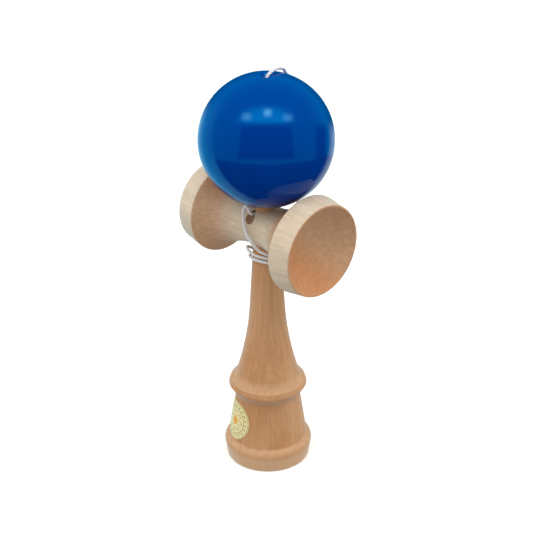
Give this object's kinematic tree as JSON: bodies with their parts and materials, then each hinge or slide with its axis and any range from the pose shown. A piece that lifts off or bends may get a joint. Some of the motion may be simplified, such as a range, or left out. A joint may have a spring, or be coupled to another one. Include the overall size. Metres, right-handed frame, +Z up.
{
  "type": "cup and ball toy",
  "caption": "Turned wooden handle with a spike, a cross piece with a cup at each end, a cup in its foot, and a lacquered ball on a string that stands on the spike.",
  "frame": {"origin": "centre of the foot's underside, on the handle's axis", "axes": "+Z up along the handle to the spike and ball, +X along the cross piece towards the big cup, -Y towards the side with the string hole and the seal"},
  "size_m": [0.073, 0.0607, 0.1936],
  "materials": {
    "handle_beech": "satin",
    "cross_piece_beech": "satin",
    "blue_lacquer": "gloss",
    "bead_wood": "satin",
    "string_cotton": "matte",
    "gold_foil": "satin"
  },
  "bodies": {
    "handle": {"ken": "handle_beech", "sarado": "cross_piece_beech", "seal_sticker": "gold_foil", "string_neck_winding": "string_cotton", "string_lead": "string_cotton", "ken_knot": "string_cotton"},
    "string_top": {"bead": "bead_wood", "bead_knot": "string_cotton", "string_ball_run": "string_cotton"},
    "ball": {"ball": "blue_lacquer"}
  },
  "joints": [
    {"name": "ball_lift", "type": "slide", "parent": "handle", "child": "string_top", "axis": [0, 0, 1], "range_m": [0, 0.06], "deforming": ["string_ball_run"]},
    {"name": "ball_spin", "type": "hinge", "parent": "string_top", "child": "ball", "pos_m": [0, 0, 0.1618], "axis": [0, 0, 1], "continuous": true}
  ]
}
